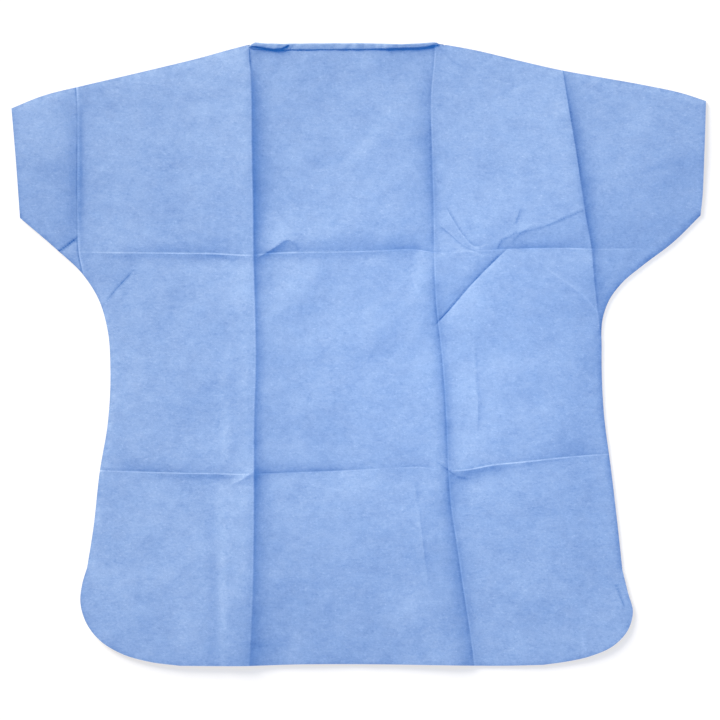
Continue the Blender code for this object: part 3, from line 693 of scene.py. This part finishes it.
def build_back(material):
    """The back panel, whose neck edge lies inside the fold of the binding."""
    loop = closed_outline(BACK_MESH.edge_step)
    at_neck = at_neck_edge(loop)
    low = np.interp(loop[at_neck, 0], *np.array(BACK_BAND)[:, :2].T)
    loop[at_neck, 1] += np.maximum(low, -BAND_WIDTH) * BAND_COVERS
    places, faces = panel_triangles(loop, FOLDS + WRINKLES, BACK_MESH)
    under = back_underside(places)
    piece = add_shell("back_panel_cloth", places, faces, under, CLOTH, material, ["back_panel"])
    # Painted shade and painted highlights, which the material darkens and lightens the colour with
    painted_shade = piece.data.attributes.new(PAINTED_SHADE_ATTRIBUTE, "FLOAT", "POINT")
    painted_shade.data.foreach_set("value", np.tile(painted_shade_and_highlights(places), 2))
    return piece


def build_front(material):
    """The front panel, cut out to a V at the neck, whose edge lies inside the binding."""
    loop = closed_outline(FRONT_MESH.edge_step)
    left, point, right = v_line(BAND_WIDTH * BAND_COVERS) - (0.0, FRONT_INSET)
    loop = np.vstack([curve_through([left, point], FRONT_MESH.edge_step)[:-1],
                      curve_through([point, right], FRONT_MESH.edge_step),
                      inset(loop, FRONT_INSET * FRONT_EDGE_SHARE)[~at_neck_edge(loop)]])
    places, faces = panel_triangles(loop, FOLDS, FRONT_MESH)
    under = np.maximum(0.0, front_underside(places))
    return add_shell("front_panel_cloth", places, faces, under, CLOTH, material, ["front_panel"])


# Lengthwise sections of the back neck's binding and of the loose strand over its left end: x, its
# lower and upper edge above the neck line, how far it lies above the panel, and its thickness.
BACK_BAND = (
    (-130.6, -4.6, -2.2, -0.2, 0.9), (-126, -5.6, -1, -0.2, 1.4),
    (-112, -6.4, -0.4, -0.2, 1.5), (-94, -6.8, 0.1, -0.2, 1.5),
    (-83, -6.9, 0.9, -0.2, 1.6), (-60, -7, 1.1, -0.2, 1.6),
    (-10, -7, 1.1, -0.2, 1.6), (20, -6.8, 0.7, -0.1, 1.7),
    (36, -6.2, -0.1, 0.5, 1.9), (50, -5.8, -0.4, 0.8, 2),
    (71, -5.3, 0.3, 0.8, 2), (82, -4.1, 1.2, 0.5, 2),
    (89, -2.9, 1.8, 0.2, 1.9), (93.5, -2.4, 1.2, 0, 1.6),
    (96.8, -2, -0.9, -0.1, 0.8),
)
LOOSE_STRAND = (
    (-131.8, -3, -2.2, 0.4, 0.6), (-128.4, -2.8, 0.6, 0.7, 1.2),
    (-124.3, -2.4, 2.6, 1, 1.7), (-117.3, -3.6, 2, 1.2, 1.8),
    (-110.8, -4.8, 1.3, 1.3, 1.8), (-101.8, -5.8, 0.9, 1.4, 1.9),
    (-93.8, -5.2, 0.5, 1.5, 1.8), (-88.4, -3.2, 0.3, 1.5, 1.4),
    (-84.6, -1.2, 0.2, 1.4, 0.8),
)
BAND_STEP = 1.6
BAND_SIDES = 18
BAND_SQUARENESS = 3.2
BAND_SEED = 51
STRAND_SEED = 61
V_BAND_SEED = 71
V_BAND_THICK = 1.05
V_BAND_END = 0.55
V_BAND_TAPER = 6.0

# How far a binding's edges wander, and the height and size of its wrinkles
BAND_WANDER = 0.35
BAND_WANDER_CELL = 11.0
BAND_NARROW = 0.5
BAND_WRINKLE = 0.30
BAND_WRINKLE_CELL = 4.5
BAND_WRINKLE_SHIFT = 6.0
BAND_SWELL_SHARE = 0.6
BAND_SWELL_CELL = 13.0

# Stitches. On top and below are shares of the binding's thickness. The rings along a stitch say
# the share of its length and of its width, and how deep it lies.
STITCH_PITCH = 3.2
STITCH_LENGTH = 2.5
STITCH_WIDTH = 0.42
STITCH_ABOVE_GROUND = 0.12
STITCH_FROM_EDGE = 1.5
STITCH_ON_TOP = 0.93
STITCH_BELOW = 0.07
STITCH_SIDES = 6
STITCH_RINGS = ((-0.5, 0.35, 0.22), (-0.3, 0.95, 0.03), (0.0, 1.0, 0.0), (0.3, 0.95, 0.03),
                (0.5, 0.35, 0.22))

SHARP_ANGLE = math.radians(50)


def band_ring():
    """The flat oval section of a binding, as shares of its width and of its thickness."""
    angles = np.linspace(0.0, 2 * math.pi, BAND_SIDES, endpoint=False)
    turned = np.column_stack([-np.cos(angles), np.sin(angles)])
    return 0.5 + 0.5 * np.sign(turned) * np.abs(turned)**(2.0 / BAND_SQUARENESS)


def tube_faces(count, sides):
    """The faces of a closed tube whose points lie ring by ring, turning anticlockwise."""
    last = count - sides
    faces = [tuple(reversed(range(sides))), tuple(range(last, count))]
    for start in range(0, last, sides):
        for index in range(sides):
            here = start + index
            beside = start + (index + 1) % sides
            faces.append((here, beside, beside + sides, here + sides))
    return faces


def add_ribbon(name, near, far, under, thick, material, seed, replaced=()):
    """A closed band between two edges, with the far edge on its left hand, and a little uneven."""
    middle = (near + far) / 2
    across = far - near
    width = np.linalg.norm(across, axis=1)
    along = np.column_stack([distances_along(middle), np.zeros(len(near))])
    points = []
    for u, v in band_ring():
        wander = BAND_WANDER * smooth_noise(along, BAND_WANDER_CELL, seed + 1) * (2 * u - 1)
        aside = across / np.maximum(width, BAND_NARROW)[:, None] * wander[:, None]
        ripple = (smooth_noise(along + (0.0, u * BAND_WRINKLE_SHIFT), BAND_WRINKLE_CELL, seed)
                  + BAND_SWELL_SHARE * smooth_noise(along, BAND_SWELL_CELL, seed + 2))
        top = thick * v + BAND_WRINKLE * ripple * v * np.minimum(1.0, thick)
        points.append(np.column_stack([near + across * u + aside, under + top]))
    points = np.stack(points, axis=1).reshape(-1, 3)
    faces = [corners[::-1] for corners in tube_faces(len(points), BAND_SIDES)]
    return add_piece(name, points, faces, material, replaced)


def build_neck_band(name, sections, material, seed, replaced=()):
    """A band on the back neck, and its edges, the height of its underside and its thickness."""
    rows = [(x, 0.0, *others) for x, *others in sections]
    x, _, low, high, lift, thick = curve_through(rows, BAND_STEP).T
    neck = np.interp(x, (NECK_LEFT[0], NECK_RIGHT[0]), (NECK_LEFT[1], NECK_RIGHT[1]))
    near = np.column_stack([x, neck + low])
    far = np.column_stack([x, neck + high])
    under = back_underside(near) + lift
    piece = add_ribbon(name, near, far, under, thick, material, seed, replaced)
    return piece, (near, far, under, thick)


def build_front_band(material):
    """The binding along the V of the front neck, mitred at its point."""
    outer = v_line(BAND_WIDTH)
    inner = v_line(0.0)
    arm = np.linalg.norm(inner[1] - inner[0])
    shares = np.linspace(0.0, 2.0, 2 * round(arm / BAND_STEP) + 1)
    near, far = (np.column_stack([np.interp(shares, (0, 1, 2), line[:, axis])
                                  for axis in (0, 1)]) for line in (outer, inner))
    thick = np.full(len(shares), V_BAND_THICK)
    ends = np.minimum(shares, 2.0 - shares)
    thick *= np.clip(V_BAND_END + ends * V_BAND_TAPER, V_BAND_END, 1.0)
    under = np.zeros(len(shares))
    piece = add_ribbon("neck_binding_front", near, far, under, thick, material, V_BAND_SEED,
                       ["neck_band_front"])
    return piece, (near, far, under, thick)


def stitch_form(centre, direction, slope):
    """The points, ring by ring, of one short thread that lies along a direction."""
    side = np.array([-direction[1], direction[0], 0.0])
    ahead = np.array([direction[0], direction[1], slope])
    up = np.array([0.0, 0.0, 1.0])
    angles = np.linspace(0.0, 2 * math.pi, STITCH_SIDES, endpoint=False)
    points = []
    for share, size, drop in STITCH_RINGS:
        middle = centre + ahead * share * STITCH_LENGTH - up * drop
        points += [middle + STITCH_WIDTH / 2 * size * (math.cos(angle) * side
                                                       + math.sin(angle) * up)
                   for angle in angles]
    return points


def build_stitches(name, band, on_top, material):
    """A row of machine stitches along a binding, just inside the edge that lies on the panel."""
    near, far, under, thick = band
    width = np.linalg.norm(far - near, axis=1)
    inward = (far - near) / width[:, None]
    line = near + inward * np.minimum(STITCH_FROM_EDGE, width / 2)[:, None]
    lowest = STITCH_WIDTH / 2 + STITCH_ABOVE_GROUND
    if on_top:
        height = under + thick * STITCH_ON_TOP
    else:
        height = np.maximum(under + thick * STITCH_BELOW, lowest)
    stations = distances_along(line)
    points, faces = [], []
    start = STITCH_PITCH
    while start < stations[-1] - STITCH_PITCH:
        ends = [np.array([np.interp(start + half * STITCH_LENGTH, stations, column)
                          for column in (*line.T, height)]) for half in (-0.5, 0.5)]
        run = ends[1] - ends[0]
        length = np.linalg.norm(run[:2])
        more = stitch_form((ends[0] + ends[1]) / 2, run[:2] / length, run[2] / length)
        faces += [tuple(index + len(points) for index in corners)
                  for corners in tube_faces(len(more), STITCH_SIDES)]
        points += more
        start += STITCH_PITCH
    return add_piece(name, points, faces, material)


SHEEN_ROUGHNESS = 0.45
SPECULAR_LEVEL = 0.35
BOND_RANDOMNESS = 0.18
BOND_TURN = 38.0
BOND_EDGE = (0.12, 0.42)

# How strongly shade and hue act on red, green and blue
SHADE_SHARES = (1.5, 1.08, 0.6)
HUE_SHARES = (1.0, 0.15, -0.35)


class Surface:
    """A Principled material that is built up from noises whose sizes are in millimetres."""

    def __init__(self, name, roughness, sheen):
        self.material = bpy.data.materials.new(name)
        self.material.use_nodes = True
        self.tree = self.material.node_tree
        self.shader = self.tree.nodes["Principled BSDF"]
        self.fed(self.shader, {"Metallic": 0.0, "Roughness": roughness, "Sheen Weight": sheen,
                               "Sheen Roughness": SHEEN_ROUGHNESS,
                               "Specular IOR Level": SPECULAR_LEVEL})
        self.place = self.tree.nodes.new("ShaderNodeTexCoord").outputs["Object"]

    def fed(self, node, values):
        """A node with plain values set at some sockets, and others linked to outputs."""
        for socket, value in values.items():
            if isinstance(value, bpy.types.NodeSocket):
                self.tree.links.new(value, node.inputs[socket])
            else:
                node.inputs[socket].default_value = value
        return node

    def added(self, kind, values):
        """A new node of a kind, fed with values."""
        return self.fed(self.tree.nodes.new("ShaderNode" + kind), values)

    def scaled(self, stretch, turn):
        """Coordinates in millimetres, turned in the surface's plane and stretched."""
        return self.added("Mapping", {"Rotation": (0.0, 0.0, math.radians(turn)),
                                      "Scale": tuple(1.0 / (MM * side) for side in stretch),
                                      "Vector": self.place}).outputs["Vector"]

    def noise(self, stretch, turn=0.0, detail=3.0, roughness=0.55):
        """A cloudy noise from 0 to 1 whose lumps have the given size along each direction."""
        return self.added("TexNoise", {"Scale": 1.0, "Detail": detail, "Roughness": roughness,
                                       "Vector": self.scaled(stretch, turn)}).outputs["Fac"]

    def bonds(self, pitch):
        """Small round bond points on a slanting lattice, 1 at their middles and 0 between."""
        place = self.scaled((pitch, pitch, pitch), BOND_TURN)
        cells = self.added("TexVoronoi", {"Scale": 1.0, "Randomness": BOND_RANDOMNESS,
                                          "Vector": place})
        return self.mapped(cells.outputs["Distance"], BOND_EDGE, (1.0, 0.0))

    def mapped(self, value, old, new):
        """A value whose old range is stretched to the new one, and held within it."""
        return self.added("MapRange", {"Value": value, "From Min": old[0], "From Max": old[1],
                                       "To Min": new[0], "To Max": new[1]}).outputs["Result"]

    def combined(self, operation, first, second):
        """Two values, or a value and a number, put together."""
        node = self.added("Math", {0: first, 1: second})
        node.operation = operation
        return node.outputs["Value"]

    def summed(self, *parts):
        """The weighted sum of values, each less its middle of one half."""
        total = None
        for value, weight in parts:
            centred = self.combined("SUBTRACT", value, 0.5)
            share = self.combined("MULTIPLY", centred, weight)
            total = share if total is None else self.combined("ADD", total, share)
        return total

    def tinted(self, colour, shade, hue):
        """The base colour, made paler or deeper by the shade and turned a little by the hue."""
        node = self.added("CombineColor", {})
        for socket, channel, depth, turn in zip(node.inputs, colour, SHADE_SHARES, HUE_SHARES):
            deepened = self.combined("MULTIPLY", shade, depth)
            bent = self.combined("MULTIPLY", hue, turn)
            factor = self.combined("ADD", self.combined("ADD", deepened, bent), 1.0)
            self.tree.links.new(self.combined("MULTIPLY", factor, channel), socket)
        self.fed(self.shader, {"Base Color": node.outputs["Color"]})

    def bumped(self, height, depth):
        """A bump whose height runs from 0 to 1 over a depth in millimetres."""
        node = self.added("Bump", {"Strength": 1.0, "Distance": depth * MM, "Height": height})
        self.fed(self.shader, {"Normal": node.outputs["Normal"]})


# The mesh attribute that carries the painted shade and painted highlights
PAINTED_SHADE_ATTRIBUTE = "painted_shade"


def nonwoven(name, colour, depth):
    """Spunbond cloth: clouded colour, random fibres, point bonds and a soft crumple."""
    surface = Surface(name, roughness=0.78, sheen=0.12)
    clouds = surface.noise((60.0, 40.0, 40.0), detail=2.0)
    blotches = surface.noise((11.5, 8.6, 8.6), 24.0, detail=4.0, roughness=0.6)
    flecks = surface.noise((3.4, 2.2, 2.2), -14.0, detail=3.0, roughness=0.65)
    specks = surface.noise((1.5, 1.1, 1.1), 27.0, detail=2.0)
    tufts = surface.noise((2.9, 2.3, 2.3), 55.0, detail=2.0)
    pale_tufts = surface.mapped(tufts, (0.60, 0.74), (0.5, 1.0))
    dark_tufts = surface.mapped(tufts, (0.28, 0.40), (0.0, 0.5))
    fibres = [surface.noise((9.0, 0.8, 0.8), turn, detail=2.0) for turn in (12.0, 63.0, -48.0)]
    bonds = surface.bonds(1.7)
    crumple = surface.noise((7.0, 5.0, 5.0), 21.0, detail=3.0)
    shade = surface.summed((clouds, 0.22), (blotches, 0.38), (flecks, 0.36), (specks, 0.34),
                           (pale_tufts, 0.32), (dark_tufts, 0.22), (bonds, -0.03),
                           *[(fibre, 0.07) for fibre in fibres])
    # Painted shade darkens the colour, and painted highlight, below zero, lightens it
    painted_shade = surface.added("Attribute", {})
    painted_shade.attribute_name = PAINTED_SHADE_ATTRIBUTE
    shade = surface.combined("SUBTRACT", shade, painted_shade.outputs["Fac"])
    hue = surface.summed((surface.noise((19.0, 12.0, 12.0), 33.0), 0.09), (blotches, -0.03))
    surface.tinted(colour, shade, hue)
    relief = surface.summed((crumple, 1.0), (flecks, 0.35), (bonds, -0.2),
                            *[(fibre, 0.16) for fibre in fibres])
    surface.bumped(relief, depth)
    rough = surface.mapped(surface.combined("ADD", blotches, flecks), (0.6, 1.4), (0.72, 0.86))
    surface.fed(surface.shader, {"Roughness": rough})
    return surface.material


def thread(colour):
    """Twisted polyester thread."""
    surface = Surface("binding thread", roughness=0.55, sheen=0.2)
    twist = surface.noise((0.5, 0.16, 0.16), 35.0, detail=1.0)
    surface.tinted(colour, surface.summed((twist, 0.35)), surface.summed((twist, 0.05)))
    surface.bumped(twist, THREAD_BUMP)
    return surface.material


def floor_paint(colour):
    """The pale matt ground, which also glows by itself, with a hardly visible cloudiness."""
    surface = Surface("pale ground", roughness=0.9, sheen=0.0)
    surface.fed(surface.shader, {"Emission Color": (*GROUND_GLOW, 1.0), "Emission Strength": 1.0})
    clouds = surface.noise((160.0, 120.0, 120.0), detail=2.0)
    surface.tinted(colour, surface.summed((clouds, 0.008)), surface.summed((clouds, 0.002)))
    return surface.material


CLOTH_BLUE = (0.2385, 0.382, 0.711)
BINDING_BLUE = (0.211, 0.345, 0.655)
THREAD_BLUE = (0.26, 0.39, 0.68)
CLOTH_BUMP = 0.16
BINDING_BUMP = 0.14
THREAD_BUMP = 0.08
GROUND = (0.30, 0.38, 0.60)
GROUND_GLOW = (0.75, 0.665, 0.46)
GROUND_SIDE = 40.0
GROUND_DROP = 0.05

# Light: a soft warm sun from the upper left of the picture, a cool sky, and a lamp overhead that
# leaves the corners a little darker. The sun's shares say how much of the red, green and blue on
# the floor it gives. The lamp's share is the same for all three, and the sky gives what is left.
SUN_FROM = 131.0
SUN_ELEVATION = 16.0
SUN_SOFTNESS = 30.0
SUN_SHARES = (0.80, 0.59, 0.32)
OVERHEAD_SHARE = 0.20
OVERHEAD_PLACE = (0.1, 0.02, 0.4)
OVERHEAD_SIZE = 0.2
OVERHEAD_COLOUR = (1.0, 0.97, 0.88)
LIGHT_LEVEL = 1.26
CAMERA_HEIGHT = 6.0
SENSOR = 36.0


def build_ground():
    """The floor that the garment lies on."""
    half = GROUND_SIDE / 2
    z = -GROUND_DROP * MM
    corners = [(-half, -half, z), (half, -half, z), (half, half, z), (-half, half, z)]
    mesh = bpy.data.meshes.new("ground")
    mesh.from_pydata(corners, [], [(0, 1, 2, 3)])
    mesh.materials.append(floor_paint(GROUND))
    ground = bpy.data.objects.new("ground", mesh)
    bpy.context.collection.objects.link(ground)


def add_lamp(name, kind, location, rotation):
    """A lamp of one of Blender's kinds."""
    lamp = bpy.data.lights.new(name, kind)
    holder = bpy.data.objects.new(name, lamp)
    holder.location = location
    holder.rotation_euler = rotation
    bpy.context.collection.objects.link(holder)
    return lamp


def build_light():
    """The sun, the lamp overhead and the sky, whose light on the floor adds up to the level."""
    tilt = math.radians(90.0 - SUN_ELEVATION)
    sun = add_lamp("soft sun", "SUN", (0.0, 0.0, 2.0), (tilt, 0.0, math.radians(SUN_FROM + 90.0)))
    sun.angle = math.radians(SUN_SOFTNESS)
    strongest = max(SUN_SHARES)
    sun.color = [share / strongest for share in SUN_SHARES]
    sun.energy = LIGHT_LEVEL * strongest * math.pi / math.sin(math.radians(SUN_ELEVATION))
    overhead = add_lamp("overhead lamp", "AREA", OVERHEAD_PLACE, (0.0, 0.0, 0.0))
    overhead.color = OVERHEAD_COLOUR
    overhead.shape = "DISK"
    overhead.size = OVERHEAD_SIZE
    overhead.energy = LIGHT_LEVEL * OVERHEAD_SHARE * (math.pi * OVERHEAD_PLACE[2])**2
    world = bpy.data.worlds.new("sky")
    world.use_nodes = True
    sky = world.node_tree.nodes["Background"]
    left_over = [1.0 - share - OVERHEAD_SHARE for share in SUN_SHARES]
    sky.inputs["Color"].default_value = (*left_over, 1.0)
    sky.inputs["Strength"].default_value = LIGHT_LEVEL
    bpy.context.scene.world = world


def build_camera():
    """The camera straight above, as in the photograph."""
    camera = bpy.data.cameras.new("camera")
    camera.sensor_width = SENSOR
    camera.lens = SENSOR * CAMERA_HEIGHT / (PICTURE_SIDE * MM)
    holder = bpy.data.objects.new("camera", camera)
    holder.location = (PICTURE_MIDDLE[0] * MM, PICTURE_MIDDLE[1] * MM, CAMERA_HEIGHT)
    bpy.context.collection.objects.link(holder)
    bpy.context.scene.camera = holder
    bpy.context.scene.view_settings.view_transform = "Standard"


def main():
    """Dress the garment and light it."""
    cloth = nonwoven("blue nonwoven cloth", CLOTH_BLUE, CLOTH_BUMP)
    binding = nonwoven("blue nonwoven binding", BINDING_BLUE, BINDING_BUMP)
    stitching = thread(THREAD_BLUE)
    front = build_front(cloth)
    front_band, front_edges = build_front_band(binding)
    front_stitches = build_stitches("neck_stitches_front", front_edges, False, stitching)
    back = build_back(cloth)
    back_band, back_edges = build_neck_band("neck_binding_back", BACK_BAND, binding, BAND_SEED,
                                            ["neck_band_back"])
    back_stitches = build_stitches("neck_stitches_back", back_edges, True, stitching)
    strand, _ = build_neck_band("neck_binding_loose_end", LOOSE_STRAND, binding, STRAND_SEED)
    build_ground()
    build_light()
    build_camera()


main()
